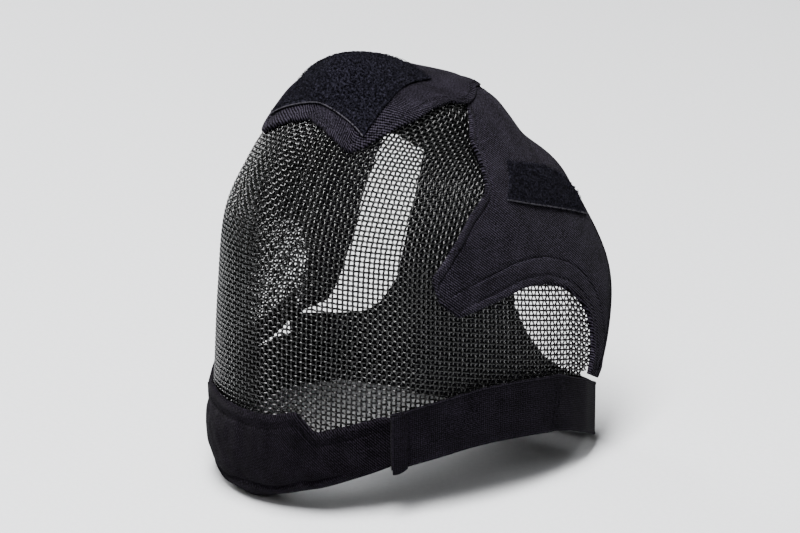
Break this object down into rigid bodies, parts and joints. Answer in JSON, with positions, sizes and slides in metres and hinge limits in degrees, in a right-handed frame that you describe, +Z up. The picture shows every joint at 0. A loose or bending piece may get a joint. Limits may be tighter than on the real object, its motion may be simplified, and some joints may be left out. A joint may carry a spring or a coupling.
{
  "type": "mesh face mask",
  "caption": "Full-head protective mask: formed wire-mesh face shell with sewn cloth crown, side and back panels, padded chin band, loop-fastener patches and an elastic neck strap.",
  "frame": {"origin": "middle of the bounding box in X and Y, on the surface that the mask stands on", "axes": "+Z up, the face looks along -Y, +X towards the wearer's left"},
  "size_m": [0.2246, 0.2208, 0.2522],
  "materials": {
    "black_wire": "semi-gloss black paint on woven steel wire",
    "black_cloth": "matt woven nylon canvas",
    "loop_fabric": "fuzzy loop-fastener fabric",
    "black_elastic": "matt woven elastic webbing"
  },
  "bodies": {
    "root": {"face_mesh": "black_wire", "crown_panel": "black_cloth", "crown_loop_patch": "loop_fabric", "side_panel_left": "black_cloth", "side_panel_right": "black_cloth", "side_loop_patch_left": "loop_fabric", "side_loop_patch_right": "loop_fabric", "strap_end_left": "black_elastic", "strap_end_right": "black_elastic", "chin_band": "black_cloth", "back_panel": "black_cloth", "neck_strap": "black_elastic"}
  },
  "joints": []
}
